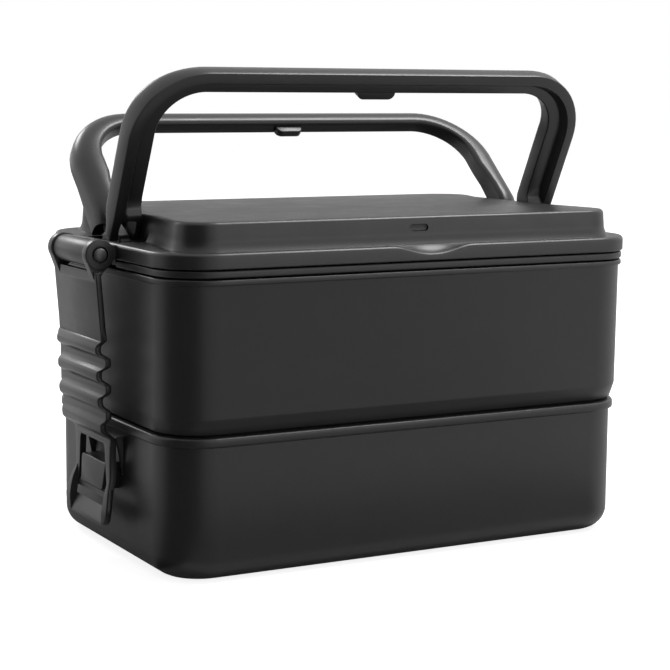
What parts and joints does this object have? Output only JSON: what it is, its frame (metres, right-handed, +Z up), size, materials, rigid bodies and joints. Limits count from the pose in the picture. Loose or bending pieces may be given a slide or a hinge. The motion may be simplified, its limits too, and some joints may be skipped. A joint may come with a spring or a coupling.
{
  "type": "two-tier lunch box",
  "caption": "Rectangular two-tier lunch box with nesting trays, inner lid, domed outer lid, two swing handles and a hinged latch at each end.",
  "frame": {"origin": "middle of the underside of the lower tray, where it rests", "axes": "+X along the length towards the right-hand latch, +Y from the front to the back, +Z up"},
  "size_m": [0.2202, 0.1248, 0.1753],
  "materials": {
    "lower_tray_plastic": "fine satin texture",
    "tier_seal_silicone": "matt",
    "upper_tray_plastic": "fine satin texture",
    "inner_lid_plastic": "fine satin texture",
    "inner_lid_seal_silicone": "matt",
    "outer_lid_plastic": "fine satin texture",
    "handle_front_plastic": "satin",
    "handle_rear_plastic": "satin",
    "left_handle_steel": "drawn wire",
    "right_handle_steel": "drawn wire",
    "left_latch_plastic": "satin",
    "right_latch_plastic": "satin",
    "left_latch_steel": "dark",
    "right_latch_steel": "dark"
  },
  "bodies": {
    "box": {"lower_tray": "lower_tray_plastic", "tier_seal": "tier_seal_silicone", "upper_tray": "upper_tray_plastic", "inner_lid": "inner_lid_plastic", "inner_lid_seal": "inner_lid_seal_silicone", "outer_lid": "outer_lid_plastic", "handle_pin_left": "left_handle_steel", "handle_pin_right": "right_handle_steel", "latch_pin_left": "left_latch_steel", "latch_pin_right": "right_latch_steel"},
    "handle_front": {"handle_front": "handle_front_plastic"},
    "handle_rear": {"handle_rear": "handle_rear_plastic"},
    "latch_left": {"latch_left": "left_latch_plastic"},
    "latch_right": {"latch_right": "right_latch_plastic"}
  },
  "joints": [
    {"name": "handle_front_swing", "type": "hinge", "parent": "box", "child": "handle_front", "pos_m": [0, 0.002, 0.112], "axis": [1, 0, 0], "range_deg": [-10, 20]},
    {"name": "handle_rear_swing", "type": "hinge", "parent": "box", "child": "handle_rear", "pos_m": [0, 0.002, 0.112], "axis": [1, 0, 0], "range_deg": [0, 24]},
    {"name": "latch_left_swing", "type": "hinge", "parent": "box", "child": "latch_left", "pos_m": [-0.1047, 0, 0.1106], "axis": [0, 1, 0], "range_deg": [0, 120]},
    {"name": "latch_right_swing", "type": "hinge", "parent": "box", "child": "latch_right", "pos_m": [0.1047, 0, 0.1106], "axis": [0, -1, 0], "range_deg": [0, 120]}
  ]
}
